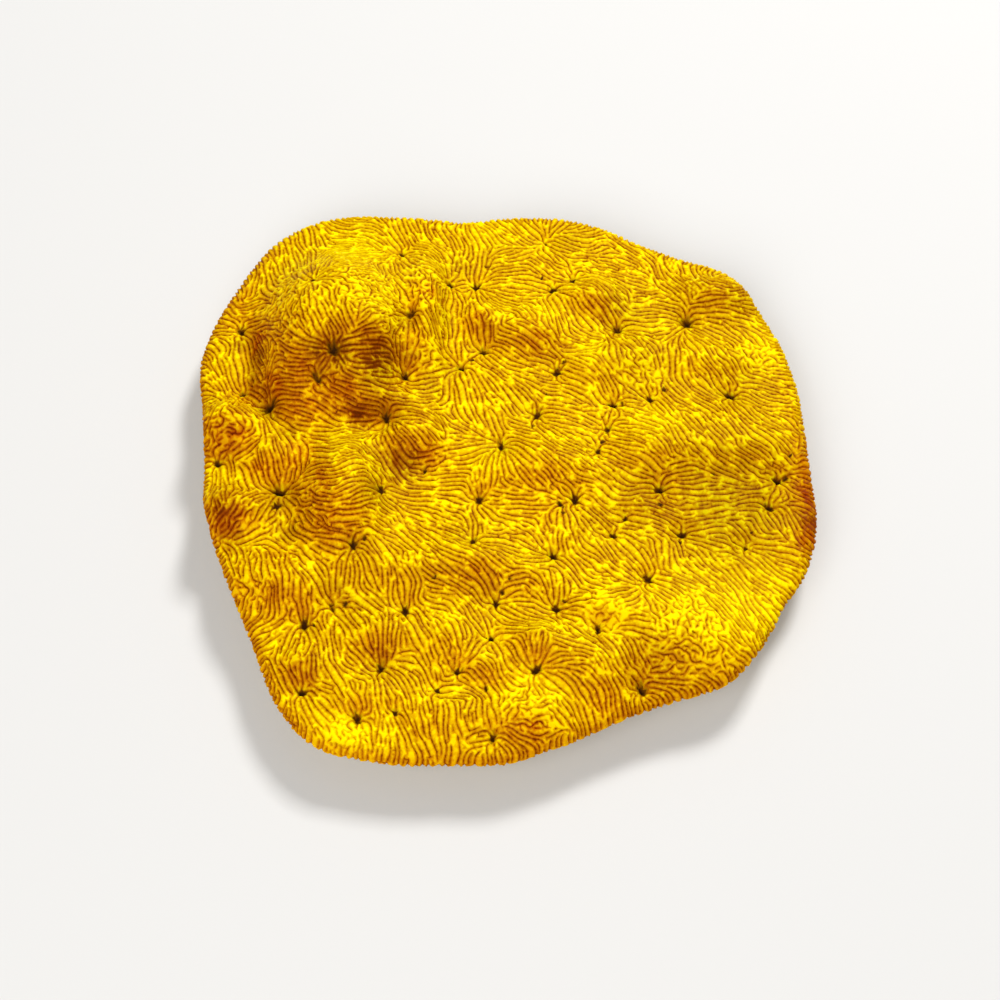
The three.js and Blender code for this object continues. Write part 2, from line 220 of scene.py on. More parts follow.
# rust brown grooves, with painted shade on the knob's front, the nose's underside and other shaded flanks
rustAndShadeZones = [
    ((376, 360), 2.6, 1), ((337, 352), 1.8, 1), ((318, 350), 1.3, 0.7), ((360, 414), 1.4, 0.8),
    ((266, 392), 1.2, 0.6), ((222, 508), 1.8, 0.7), ((405, 462), 1.8, 0.6), ((320, 373), 0.9, 0.6),
    ((258, 355), 1.2, 0.6), ((483, 322), 0.9, 0.5), ((225, 428), 1.6, 0.3), ((815, 520), 1.6, 0.4),
]
marginZones = [((806, 480), 6, 1), ((812, 530), 3, 1), ((232, 300), 5, 0.35), ((262, 262), 4, 0.35)]

crownLevel = plate["marginLevel"] + plate["crownRise"]
placedLumps = [(onLevel(*crest, crownLevel + rise), rise, *reaches, math.radians(turn), square)
               for crest, rise, *reaches, turn, square in lumps]


def lumpHeight(x, y):
    height = np.zeros(np.shape(x))
    for at, rise, across, behind, front, turn, square in placedLumps:
        dx, dy = x - at[0], y - at[1]
        a = (dx * math.cos(turn) + dy * math.sin(turn)) / across
        b = dy * math.cos(turn) - dx * math.sin(turn)
        b = b / np.where(b > 0, behind, front)
        height += rise * np.exp(-((a * a + b * b) ** square))
    return height


def marginRelief(x, y):
    return plate["marginLevel"] - plate["lipThickness"] / 2 + lumpHeight(x, y)


outline = np.array([onRelief(u, v, marginRelief)[:2] for u, v in outlinePixels])
middle = (outline.min(0) + outline.max(0)) / 2


def straightRadius(angle):  # from the middle to the outline's straight sides
    cos, sin = np.cos(angle)[:, None], np.sin(angle)[:, None]
    start = outline - middle
    side = np.roll(outline, -1, 0) - outline
    cross = cos * side[:, 1] - sin * side[:, 0]
    cross = np.where(np.abs(cross) < 1e-9, 1e-9, cross)
    along = (start[:, 0] * sin - start[:, 1] * cos) / cross
    reach = (start[:, 0] * side[:, 1] - start[:, 1] * side[:, 0]) / cross
    return np.where((along >= 0) & (along <= 1) & (reach > 0), reach, 0).max(1)


edgeAngles = np.radians(np.arange(-180, 180, 0.5))
cornerStep = 2  # degrees from one to the next of the seven readings that round the corners
cornerWeights = np.array([1, 6, 15, 20, 15, 6, 1]) / 64
edgeTable = sum(weight * straightRadius(edgeAngles + math.radians(cornerStep * (k - 3)))
                for k, weight in enumerate(cornerWeights))


def edgeRadius(angle):
    return np.interp(angle, edgeAngles, edgeTable, period=2 * math.pi)


def ground(x, y):
    share = np.hypot(x - middle[0], y - middle[1]) / edgeRadius(np.arctan2(y - middle[1], x - middle[0]))
    return plate["marginLevel"] + plate["crownRise"] * (1 - np.minimum(share, 1) ** 2) + lumpHeight(x, y)


def funnelFloor(x, y):
    return ground(x, y) - funnel["depth"]


placedMouths = np.array([onRelief(u, v, funnelFloor) for u, v, size in mouths])
mouthSizes = np.array([size for u, v, size in mouths])


def funnels(x, y):
    total = np.zeros(np.shape(x))
    for at in placedMouths:
        dy = (y - at[1]) * np.where(y > at[1], funnel["steepSide"], funnel["gentleSide"])
        total += np.exp(-np.hypot(x - at[0], dy) / funnel["blend"])
    distance = np.maximum(0, -funnel["blend"] * np.log(total + 1e-30))
    t = np.clip(distance / funnel["reach"], 0, 1)
    return funnel["depth"] * (1 - t * t * (3 - 2 * t))


def upperHeight(x, y):
    return ground(x, y) - funnels(x, y)


# The skin is laid out flat as one disc: the upper surface, then the lip round its edge, then the underside.
skin = {
    "lipArc": 4.75,  # width of the band that goes round the lip
    "underArc": 3.8,  # width of the band of the underside
    "slopeStep": 0.04,
}
skinEnd = skin["lipArc"] + skin["underArc"]


def skinPoint(q):  # 3-D points for flat points q
    offset = q - middle
    reach = np.hypot(offset[:, 0], offset[:, 1])
    angle = np.arctan2(offset[:, 1], offset[:, 0])
    edge = edgeRadius(angle)
    past = reach - (edge - plate["lipLength"])
    turn = np.clip(past / skin["lipArc"], 0, 1) * math.pi
    way = np.clip((past - skin["lipArc"]) / skin["underArc"], 0, 1)
    inset = np.where(past < 0, edge - reach, plate["lipLength"] * (1 - np.sin(turn)))
    inset = np.where(way > 0, plate["lipLength"] + (plate["cutInset"] - plate["lipLength"]) * way, inset)
    direction = offset / np.maximum(reach, 1e-9)[:, None]
    xy = middle + direction * (edge - inset)[:, None]
    top = upperHeight(xy[:, 0], xy[:, 1])
    z = top - plate["lipThickness"] / 2 * (1 - np.cos(turn))
    lipFoot = middle + direction * (edge - plate["lipLength"])[:, None]
    under = upperHeight(lipFoot[:, 0], lipFoot[:, 1]) - plate["lipThickness"]
    z = np.where(way > 0, under * (1 - way) ** plate["undercutBulge"], z)
    return np.column_stack((xy, z)), past


def skinFrame(q):  # points, slopes along the flat x and y, outward normals, distances past the lip's start
    step = skin["slopeStep"]
    dx, dy = np.array((step, 0)), np.array((0, step))
    point, past = skinPoint(q)
    alongX = (skinPoint(q + dx)[0] - skinPoint(q - dx)[0]) / (2 * step)
    alongY = (skinPoint(q + dy)[0] - skinPoint(q - dy)[0]) / (2 * step)
    normal = np.cross(alongX, alongY)
    normal /= np.maximum(np.linalg.norm(normal, axis=1), 1e-9)[:, None]
    return point, alongX, alongY, normal, past


def flatStep(vector, alongX, alongY):  # the flat step that moves a point by a 3-D vector along the skin
    a, b, c = (alongX ** 2).sum(1), (alongX * alongY).sum(1), (alongY ** 2).sum(1)
    u, v = (alongX * vector).sum(1), (alongY * vector).sum(1)
    det = np.maximum(a * c - b * b, 1e-6)
    return np.column_stack(((c * u - b * v) / det, (a * v - b * u) / det))


def ripple(points, wavelength, seed):  # smooth waviness from -1 to 1
    draw = np.random.RandomState(seed)
    total = np.zeros(len(points))
    for _ in range(7):
        direction = draw.normal(size=3)
        direction /= np.linalg.norm(direction)
        length = wavelength * draw.uniform(0.7, 1.5)
        total += np.sin(points @ direction * 2 * math.pi / length + draw.uniform(0, 7))
    return np.clip(total / 3.2, -1, 1)


patch = {  # how ragged the mazes and the patches of colour are
    "mazeRagged": 0.25,
    "mazeRaggedLength": 3.5,
    "mazeTrim": 0.05,
    "mazeSteepness": 2.2,
    "zoneRagged": 0.3,
    "zoneRaggedLength": 1.6,
}
mazeSpots = np.array([onRelief(u, v, upperHeight) for (u, v), radius in mazes])
mazeRadii = np.array([radius for spot, radius in mazes])


def mazeShare(points):
    share = np.zeros(len(points))
    for at, radius in zip(mazeSpots, mazeRadii):
        share = np.maximum(share, 1 - np.linalg.norm(points - at, axis=1) / radius)
    share += patch["mazeRagged"] * ripple(points, patch["mazeRaggedLength"], 4) - patch["mazeTrim"]
    return np.clip(share * patch["mazeSteepness"], 0, 1)


def zoneShare(points, zones):  # strength of soft patches round places on the skin
    share = np.zeros(len(points))
    for (u, v), radius, strength in zones:
        far = np.linalg.norm(points - onRelief(u, v, upperHeight), axis=1) / radius
        share = np.maximum(share, strength * np.exp(-far ** 2))
    return share * (1 + patch["zoneRagged"] * ripple(points, patch["zoneRaggedLength"], 31))


print("form ready:", len(placedLumps), "lumps,", len(placedMouths), "mouths")

# Ribs: grooves traced along the grain, which runs from mouth to mouth across the lumps

# The grain as it shows in the photograph: pixel, and degrees up from level
grain = [
    (410, 232, -60), (440, 235, -55), (465, 238, -60), (490, 235, -50), (520, 235, -42),
    (570, 245, -20), (425, 250, -20), (415, 258, -25), (405, 268, -52), (420, 275, -58),
    (432, 290, -80), (400, 285, -60), (425, 310, -50), (435, 325, -70), (455, 262, 88), (470, 262, -85),
    (482, 262, 80), (505, 262, 5), (515, 272, 0), (510, 285, 0), (520, 297, -8), (532, 285, -10),
    (545, 262, -30), (585, 262, -5), (600, 268, -8), (590, 280, -5), (562, 285, 0), (505, 305, -20),
    (530, 308, -40), (550, 308, -55), (566, 315, -70), (580, 312, -55), (592, 300, -52),
    (600, 325, -50), (585, 335, -30), (580, 345, 0), (455, 315, 85), (455, 335, 85), (468, 318, -85),
    (482, 325, -88), (470, 335, -70), (510, 335, -30), (530, 335, -38), (545, 340, -40),
    (515, 350, -30), (540, 355, -25), (520, 368, -22), (535, 378, -15), (505, 378, -35),
    (492, 360, -30), (510, 393, -48), (465, 382, -65), (480, 380, -62), (495, 390, -60),
    (517, 402, -55), (450, 390, -85), (470, 405, -75), (490, 408, -60), (530, 398, -50),
    (575, 367, -25), (580, 385, -25), (560, 395, -10), (572, 410, -12), (596, 385, -45),
    (600, 368, -50), (420, 345, 85), (430, 365, 20), (430, 385, 15), (416, 388, 0), (435, 402, 10),
    (415, 402, -10), (620, 240, -35), (640, 258, -42), (620, 268, -25), (610, 285, -40),
    (602, 292, -50), (615, 305, -50), (662, 272, -62), (675, 290, -50), (690, 280, -40),
    (705, 278, -32), (720, 282, -10), (720, 298, 0), (720, 312, 0), (702, 315, 0), (740, 318, -15),
    (760, 325, -30), (760, 342, -45), (730, 332, -38), (705, 332, -28), (650, 298, 0), (650, 318, 0),
    (665, 302, -10), (640, 325, -10), (630, 338, -35), (645, 350, -40), (612, 375, -68),
    (600, 390, -65), (630, 372, -60), (642, 380, -50), (655, 375, -85), (665, 360, 85), (676, 362, 88),
    (686, 368, -85), (692, 355, -60), (675, 385, -50), (686, 398, -36), (665, 405, -50),
    (705, 372, -45), (715, 385, -45), (724, 370, -52), (738, 368, -62), (748, 355, -50),
    (752, 375, -20), (765, 385, -20), (772, 402, -10), (755, 400, -30), (745, 412, -45),
    (732, 412, -52), (710, 405, -30), (720, 420, -48), (700, 430, -50), (685, 425, -50),
    (670, 428, -55), (650, 425, -20), (640, 418, -15), (662, 448, -60), (690, 445, -50),
    (718, 442, -52), (740, 435, -50), (765, 430, -25), (785, 430, -30), (787, 400, 0), (780, 370, -10),
    (770, 355, -25), (630, 430, -10), (620, 442, -15), (632, 452, -20), (615, 460, -35),
    (600, 475, -45), (622, 475, -30), (602, 498, -48), (635, 470, -20), (640, 485, 0), (632, 500, 5),
    (620, 508, -5), (605, 515, -40), (650, 455, -35), (680, 466, 12), (692, 475, 10), (680, 485, 2),
    (702, 488, 3), (690, 498, -10), (702, 460, -42), (720, 465, -38), (740, 470, -35), (722, 485, 0),
    (742, 490, 5), (722, 502, 3), (752, 495, 10), (742, 480, -22), (760, 450, -32), (770, 466, -22),
    (750, 455, -35), (782, 455, -50), (700, 510, 5), (702, 522, 18), (720, 515, 20), (740, 512, 8),
    (660, 517, -30), (670, 527, -35), (650, 510, -8), (640, 520, -10), (650, 530, -28), (640, 536, -20),
    (630, 545, -45), (640, 552, -50), (662, 532, -25), (710, 535, 0), (722, 545, -5), (730, 535, -38),
    (720, 525, -5), (740, 532, -50), (700, 546, -25), (710, 557, -50), (695, 562, -42), (682, 560, -60),
    (682, 576, -20), (700, 580, -30), (690, 592, -35), (670, 586, -25), (660, 592, -35),
    (680, 602, -38), (702, 605, -42), (720, 595, -40), (710, 622, -52), (730, 612, -45),
    (740, 632, -62), (722, 642, -65), (750, 620, -60), (765, 610, -50), (740, 582, -45),
    (760, 582, -35), (780, 590, -35), (770, 565, -35), (752, 562, -40), (790, 575, -35), (670, 555, 85),
    (656, 545, 88), (625, 556, -50), (610, 552, -52), (622, 572, -25), (600, 562, -45), (602, 576, -20),
    (640, 568, -48), (620, 590, 10), (600, 595, 0), (765, 522, -60), (780, 520, -68), (790, 532, -65),
    (775, 537, 0), (770, 547, -10), (785, 552, -5), (792, 560, -20), (620, 610, 20), (622, 624, 10),
    (610, 622, 15), (642, 625, -15), (645, 636, -30), (620, 642, -60), (605, 642, -52), (630, 652, -65),
    (640, 655, -68), (610, 660, -60), (620, 672, -60), (630, 672, -55), (610, 690, -70),
    (605, 710, -80), (620, 702, -85), (660, 655, 5), (665, 663, 3), (672, 670, 2), (680, 677, 0),
    (680, 684, -3), (680, 691, -10), (664, 696, -20), (692, 672, 5), (655, 692, -25), (690, 652, -40),
    (720, 667, -30), (730, 656, -30), (745, 655, -20), (705, 640, -60), (445, 590, -15),
    (460, 600, -32), (450, 612, -40), (445, 627, -55), (460, 626, -65), (470, 614, -60),
    (480, 618, -60), (440, 645, -70), (450, 652, -74), (435, 665, -75), (465, 656, 75), (475, 650, 50),
    (475, 662, 15), (486, 661, -35), (492, 668, -70), (480, 674, -55), (488, 680, -60), (470, 682, -35),
    (465, 691, -12), (450, 690, 5), (505, 656, -60), (515, 650, -65), (520, 662, -50), (512, 672, -30),
    (500, 667, -80), (530, 647, -80), (541, 647, 85), (549, 650, 55), (556, 658, 20), (566, 660, 8),
    (580, 663, -5), (590, 669, -40), (600, 672, -58), (570, 681, -45), (555, 680, -42), (580, 692, -60),
    (590, 702, -70), (570, 706, -50), (580, 717, -70), (562, 670, -10), (590, 650, -20),
    (602, 655, -48), (575, 650, -5), (560, 641, -25), (590, 640, -25), (512, 614, -30), (522, 622, 0),
    (510, 630, 10), (535, 622, 0), (541, 610, -25), (525, 602, 0), (530, 590, -48), (540, 594, -50),
    (551, 590, -85), (562, 592, 80), (572, 600, 20), (580, 612, -25), (576, 626, -35), (560, 625, -42),
    (592, 604, 10), (600, 613, 15), (440, 712, 88), (450, 722, -85), (460, 732, -70), (470, 705, 78),
    (480, 714, -75), (490, 710, -80), (500, 710, 80), (510, 705, 60), (520, 715, 10), (532, 714, 0),
    (546, 712, -30), (560, 716, -60), (440, 742, -80), (455, 747, -85), (475, 746, 20), (490, 752, -80),
    (512, 746, -50), (522, 756, -30), (541, 742, -20), (520, 735, -20), (551, 736, 20), (560, 741, 30),
    (480, 736, 15), (430, 725, -85), (250, 600, 90), (270, 602, 88), (300, 602, 90), (288, 590, 88),
    (262, 625, 35), (270, 640, 25), (265, 650, 15), (280, 650, 60), (270, 665, -60), (286, 672, -60),
    (275, 682, -55), (290, 683, -70), (300, 662, 90), (312, 660, 90), (325, 640, -70), (336, 636, -80),
    (345, 642, -60), (355, 640, -50), (352, 655, -50), (365, 652, -55), (340, 656, -65),
    (335, 670, -60), (350, 670, -30), (361, 676, -10), (380, 645, 88), (390, 646, 84), (400, 642, 80),
    (406, 655, 15), (412, 664, -10), (396, 672, -30), (410, 676, -50), (420, 682, -65), (396, 683, -60),
    (380, 686, 88), (370, 690, -80), (360, 690, 88), (350, 690, -65), (340, 690, -55), (345, 704, -60),
    (326, 705, -50), (310, 706, -60), (326, 690, -15), (315, 717, -45), (376, 622, -70),
    (361, 611, -40), (370, 600, -35), (352, 601, -20), (346, 616, -50), (336, 622, -75), (396, 626, 88),
    (411, 622, -60), (420, 612, -45), (431, 601, -20), (421, 590, 75), (411, 588, 88), (400, 590, -80),
    (430, 631, -60), (430, 651, -65), (300, 640, 88), (288, 638, 65), (311, 640, -75), (390, 736, 88),
    (370, 741, 90), (350, 741, 82), (330, 741, 85), (310, 741, -70), (360, 756, 90), (400, 751, 88),
    (400, 725, -62), (411, 736, -55), (421, 746, -55), (392, 700, -72), (422, 715, -82),
    (300, 235, -75), (320, 240, -70), (345, 235, -5), (360, 223, 0), (375, 240, -25), (390, 240, -50),
    (360, 251, 8), (345, 259, 8), (340, 271, 5), (365, 270, 3), (382, 270, -55), (300, 262, -65),
    (285, 262, -62), (275, 275, -55), (290, 287, -40), (272, 290, -30), (311, 262, -78), (325, 262, 85),
    (330, 290, -58), (320, 302, -60), (342, 302, -55), (340, 320, -60), (310, 310, -72), (270, 302, -8),
    (270, 320, -20), (250, 310, 10), (250, 330, -10), (282, 332, -30), (300, 322, -55), (370, 345, 6),
    (370, 358, 0), (375, 366, 8), (360, 380, -10), (350, 391, -20), (340, 396, -25), (380, 390, -15),
    (365, 411, -8), (330, 396, -35), (310, 401, -25), (300, 360, 0), (290, 350, -25), (285, 371, -12),
    (290, 391, -5), (280, 401, 8), (300, 411, -10), (260, 351, -65), (256, 371, -60), (245, 351, -75),
    (225, 356, -70), (215, 366, -60), (230, 371, -80), (225, 391, -50), (235, 415, -45),
    (215, 346, -30), (250, 396, -30), (251, 411, -40), (285, 416, -25), (300, 427, -15),
    (275, 431, -60), (290, 441, -65), (286, 447, -72), (295, 462, -85), (270, 466, -75),
    (256, 471, -68), (320, 431, -8), (320, 451, -5), (320, 470, -3), (320, 490, -12), (320, 508, -20),
    (310, 520, -30), (322, 530, -20), (322, 545, -20), (345, 441, 5), (350, 460, 15), (350, 480, 20),
    (362, 470, 8), (372, 471, -48), (375, 456, -52), (390, 461, -55), (400, 472, -55), (350, 521, 0),
    (342, 510, 15), (380, 521, -32), (391, 511, -35), (380, 551, -58), (370, 571, -70), (390, 581, 82),
    (350, 581, 88), (225, 431, 60), (220, 441, 48), (236, 431, 55), (246, 445, 35), (225, 471, -82),
    (231, 482, -78), (240, 481, -65), (212, 482, 88), (216, 505, -70), (240, 511, 60), (222, 516, 48),
    (250, 531, 38), (262, 561, 88), (242, 561, 92), (281, 561, -75), (300, 551, -45), (311, 566, -45),
    (415, 421, -8), (430, 431, -40), (405, 431, -55), (416, 441, -60), (425, 455, 10), (430, 470, 8),
    (425, 480, 0), (420, 490, -3), (440, 460, 15), (450, 475, 5), (450, 490, -5), (420, 505, -8),
    (440, 512, -8), (440, 525, -22), (420, 522, -15), (455, 525, -25), (455, 540, -25), (430, 540, -40),
    (410, 540, -38), (420, 558, -50), (400, 520, -40), (400, 560, -55), (440, 560, -45),
    (460, 560, -25), (475, 565, -35), (470, 575, -45), (485, 575, -55), (490, 585, -65),
    (460, 580, -30), (500, 560, -45), (510, 555, -25), (495, 545, -15), (500, 535, 0), (500, 522, -3),
    (520, 522, -10), (530, 535, -40), (540, 535, -65), (510, 510, 0), (520, 500, 0), (540, 500, 10),
    (500, 500, 0), (510, 490, -20), (520, 480, -45), (530, 470, -50), (540, 460, -50), (545, 475, -50),
    (550, 485, -50), (560, 470, -40), (570, 470, -45), (530, 450, -35), (550, 440, -30),
    (570, 440, -30), (580, 455, -30), (560, 425, -15), (580, 430, -20), (520, 432, -20),
    (585, 470, -15), (590, 485, -5), (505, 465, -75), (495, 465, 88), (490, 475, 80), (480, 470, 85),
    (470, 485, -65), (465, 455, 15), (460, 465, 0), (460, 480, 0), (480, 520, -70), (475, 525, -85),
    (490, 515, -50), (555, 525, 90), (565, 525, -85), (575, 520, -62), (585, 510, -40), (590, 530, -50),
    (560, 540, 88), (575, 545, -70), (540, 555, -5), (530, 550, -15), (570, 565, -40), (580, 575, -55),
    (590, 555, -20), (550, 575, -75), (530, 572, -30), (520, 577, 20), (510, 590, 30), (545, 565, 0),
    (595, 590, -20), (410, 577, -60), (430, 583, -20), (440, 600, -15), (415, 640, -60),
    (420, 660, -70),
]

ribs = {
    "pitch": 0.46,  # the least distance from one groove to the next
    "closest": 0.7,  # share of it at which a groove gives way
    "apart": 0.88,  # share of it that a new groove needs
    "underPitch": 0.75,
    "spreadAt": 0.55,  # share of the lip past which that wider pitch holds
    "height": 0.24,
    "sunk": 1.05,  # the grooves' depth below the solid's form, in heights
    "flatterUnder": 0.4,
    "halfWidth": 0.25,
    "beading": 0.22,
    "beadLength": 0.55,
    "unevenness": 0.12,
    "unevenLength": 2.5,
    "step": 0.11,
    "shortest": 0.35,
    "longest": 9,
    "breaks": 0.006,  # chance of a break at each step
    "mazeBreaks": 0.08,
    "breaksUntil": 0.5,  # past the lip's start
    "cutClearance": 0.2,
    "endLength": 0.25,  # over which a groove runs out
    "endRise": 0.12,
    "mouthStart": 0.3,  # from an ordinary mouth's middle to its first grooves
    "mouthRays": 6,
    "raysBySize": 4,
    "tries": 20000,
    "seed": 7,
}
flow = {  # what turns the grooves one way or another
    "grainReach": 1.25,
    "grainCore": 0.15,
    "grainWindow": 4,
    "fanShare": 0.12,  # of the plain fans round the mouths, between the readings of the grain
    "fanCore": 0.05,
    "mouthPull": 6,
    "mouthReach": 0.62,
    "mouthWindow": 3,
    "lipFrom": 0.1,
    "lipOver": 1.8,
    "lipPull": 1.2,
    "waver": 0.2,
    "waverLength": 2.2,
    "mazeWaver": 1.5,
    "mazeWaverLength": 1.15,
    "mostStretch": 3,  # flat steps to a real one
    "leastStretch": 0.3,
    "probe": 0.1,
}
raster = {"cell": 0.25, "reach": 42}
spreadPast = skin["lipArc"] * ribs["spreadAt"]
groovesEnd = skinEnd - ribs["cutClearance"]


def onSkin(u, v):  # flat place of the upper skin at a pixel
    return onRelief(u, v, upperHeight)[:2]


def readGrain():  # places and 3-D directions of the grain
    q = np.array([onSkin(u, v) for u, v, angle in grain])
    angle = np.radians([angle for u, v, angle in grain])
    point, alongX, alongY = skinFrame(q)[:3]
    xr, xu = alongX[:, 0], alongX @ pictureUp
    yr, yu = alongY[:, 0], alongY @ pictureUp
    det = xr * yu - xu * yr
    a = (np.cos(angle) * yu - np.sin(angle) * yr) / det
    b = (np.sin(angle) * xr - np.cos(angle) * xu) / det
    direction = a[:, None] * alongX + b[:, None] * alongY
    return point, direction / np.linalg.norm(direction, axis=1)[:, None]


def addTensor(total, which, weight, vector, e1, e2):  # adds a direction, the same either way round
    a, b = (vector * e1[which]).sum(1), (vector * e2[which]).sum(1)
    length2 = np.maximum(a * a + b * b, 1e-9)
    total[which, 0] += weight * (a * a - b * b) / length2
    total[which, 1] += weight * 2 * a * b / length2


def ribField():  # direction and place on a raster of the flat skin, for tracing
    cells = int(2 * raster["reach"] / raster["cell"]) + 1
    axis = np.linspace(-raster["reach"], raster["reach"], cells)
    gx, gy = np.meshgrid(axis + middle[0], axis + middle[1], indexing="ij")
    q = np.column_stack((gx.ravel(), gy.ravel()))
    point, alongX, alongY, normal, past = skinFrame(q)
    e1 = alongX / np.maximum(np.linalg.norm(alongX, axis=1), 1e-9)[:, None]
    e2 = np.cross(normal, e1)

    base = np.zeros((len(q), 2))
    everywhere = np.arange(len(q))
    for at in placedMouths:
        ray = point - at
        far = np.linalg.norm(ray, axis=1)
        addTensor(base, everywhere, 1 / (far ** 4 + flow["fanCore"]), ray, e1, e2)
    base /= np.maximum(np.linalg.norm(base, axis=1), 1e-9)[:, None]

    double = base * flow["fanShare"]
    for at, direction in zip(*readGrain()):
        which = np.flatnonzero(np.abs(q - at[:2]).max(1) < flow["grainWindow"])
        far2 = ((point[which] - at) ** 2).sum(1)
        weight = np.exp(-far2 / (2 * flow["grainReach"] ** 2)) / (flow["grainCore"] + far2)
        addTensor(double, which, weight, direction[None, :], e1, e2)
    for at, size in zip(placedMouths, mouthSizes):
        which = np.flatnonzero(np.abs(q - at[:2]).max(1) < flow["mouthWindow"])
        ray = point[which] - at
        far = np.linalg.norm(ray, axis=1)
        pull = flow["mouthPull"] * np.exp(-(far / (flow["mouthReach"] * size)) ** 2)
        addTensor(double, which, pull, ray, e1, e2)

    outward = q - middle
    outward /= np.maximum(np.linalg.norm(outward, axis=1), 1e-9)[:, None]
    radial = alongX * outward[:, :1] + alongY * outward[:, 1:]
    onLip = np.clip((past - flow["lipFrom"]) / flow["lipOver"], 0, 1)
    double /= np.maximum(np.linalg.norm(double, axis=1), 1e-9)[:, None]
    double *= (1 - onLip)[:, None]
    addTensor(double, everywhere, flow["lipPull"] * onLip, radial, e1, e2)
    maze = mazeShare(point) * (1 - onLip)
    theta = 0.5 * np.arctan2(double[:, 1], double[:, 0])
    waver = flow["waver"] * ripple(point, flow["waverLength"], 11)
    theta += waver + maze * flow["mazeWaver"] * ripple(point, flow["mazeWaverLength"], 12)
    direction = e1 * np.cos(theta)[:, None] + e2 * np.sin(theta)[:, None]
    flat = flatStep(direction, alongX, alongY)
    columns = (flat[:, 0] ** 2, flat[:, 0] * flat[:, 1], flat[:, 1] ** 2, *point.T, past, maze)
    return np.column_stack(columns).reshape(cells, cells, 8).tolist()


class Cells:  # points held in cubes, so that the near ones are found fast
    def __init__(self, size):
        self.size = size
        self.held = {}

    def hold(self, p, room=0):  # room is the distance that the point keeps to itself
        key = tuple(math.floor(c / self.size) for c in p)
        self.held.setdefault(key, []).append((*p, room * room))

    def clear(self, p, distance=0):
        px, py, pz = p
        i, j, k = math.floor(px / self.size), math.floor(py / self.size), math.floor(pz / self.size)
        limit = distance * distance
        for a in (i - 1, i, i + 1):
            for b in (j - 1, j, j + 1):
                for c in (k - 1, k, k + 1):
                    for x, y, z, own in self.held.get((a, b, c), ()):
                        gap = (x - px) ** 2 + (y - py) ** 2 + (z - pz) ** 2
                        if gap < limit or gap < own:
                            return False
        return True

    def offer(self, p, room):  # holds a point if it is clear of the ones before
        free = self.clear(p)
        if free:
            self.hold(p, room)
        return free


class Loom:  # traces grooves one by one, each a set distance from the ones before it
    def __init__(self, field):
        self.field = field
        self.cells = Cells(ribs["underPitch"])
        self.lines = []
        self.random = random.Random(ribs["seed"])

    def look(self, x, y):
        last = len(self.field) - 1.001
        fx = min(max((x - middle[0] + raster["reach"]) / raster["cell"], 0), last)
        fy = min(max((y - middle[1] + raster["reach"]) / raster["cell"], 0), last)
        i, j = int(fx), int(fy)
        fx -= i
        fy -= j
        corners = self.field[i][j], self.field[i + 1][j], self.field[i][j + 1], self.field[i + 1][j + 1]
        wa, wb, wc, wd = (1 - fx) * (1 - fy), fx * (1 - fy), (1 - fx) * fy, fx * fy
        return [wa * a + wb * b + wc * c + wd * d for a, b, c, d in zip(*corners)]

    def direction(self, seen, hint):
        xx, xy, yy = seen[:3]
        theta = 0.5 * math.atan2(2 * xy, xx - yy)
        stretch = math.sqrt(max(0.5 * (xx + yy) + 0.5 * math.hypot(xx - yy, 2 * xy), 1e-9))
        length = min(stretch, flow["mostStretch"])
        dx, dy = math.cos(theta) * length, math.sin(theta) * length
        return (dx, dy) if dx * hint[0] + dy * hint[1] >= 0 else (-dx, -dy)

    def pitchAt(self, past):
        return ribs["pitch"] if past < spreadPast else ribs["underPitch"]

    def half(self, x, y, hint, longest):  # one way from a seed
        points = []
        step = ribs["step"]
        for _ in range(int(longest / step)):
            seen = self.look(x, y)
            past, maze = seen[6], seen[7]
            if past > groovesEnd:
                break
            if points and not self.cells.clear(seen[3:6], ribs["closest"] * self.pitchAt(past)):
                break
            chance = ribs["breaks"] + (ribs["mazeBreaks"] - ribs["breaks"]) * maze
            if past < ribs["breaksUntil"] and self.random.random() < chance:
                break
            points.append((x, y, seen[3], seen[4], seen[5], past))
            first = self.direction(seen, hint)
            second = self.direction(self.look(x + first[0] * step / 2, y + first[1] * step / 2), first)
            x, y = x + second[0] * step, y + second[1] * step
            hint = second
        return points

    def keep(self, points):
        if len(points) * ribs["step"] < ribs["shortest"]:
            return
        for p in points:
            self.cells.hold(p[2:5])
        self.lines.append(points)

    def both(self, x, y):
        seen = self.look(x, y)
        if seen[6] > groovesEnd:
            return
        if not self.cells.clear(seen[3:6], self.pitchAt(seen[6]) * ribs["apart"]):
            return
        forward = self.direction(seen, (1, 0.3))  # either way would do
        ahead = self.half(x, y, forward, ribs["longest"] / 2)
        behind = self.half(x, y, (-forward[0], -forward[1]), ribs["longest"] / 2)
        self.keep(behind[:0:-1] + ahead)

    def beside(self, line):  # new grooves a pitch away on both sides of one
        for k in range(0, len(line) - 1, 2):
            a, b = line[k], line[k + 1]
            pitch = self.pitchAt(a[5])
            seen = self.look(a[0], a[1])
            tx, ty = b[0] - a[0], b[1] - a[1]
            length = math.hypot(tx, ty) or 1
            nx, ny = -ty / length, tx / length
            probe = self.look(a[0] + nx * flow["probe"], a[1] + ny * flow["probe"])
            stretch = max(math.dist(probe[3:6], seen[3:6]) / flow["probe"], flow["leastStretch"])
            for side in (pitch / stretch, -pitch / stretch):
                self.both(a[0] + nx * side, a[1] + ny * side)


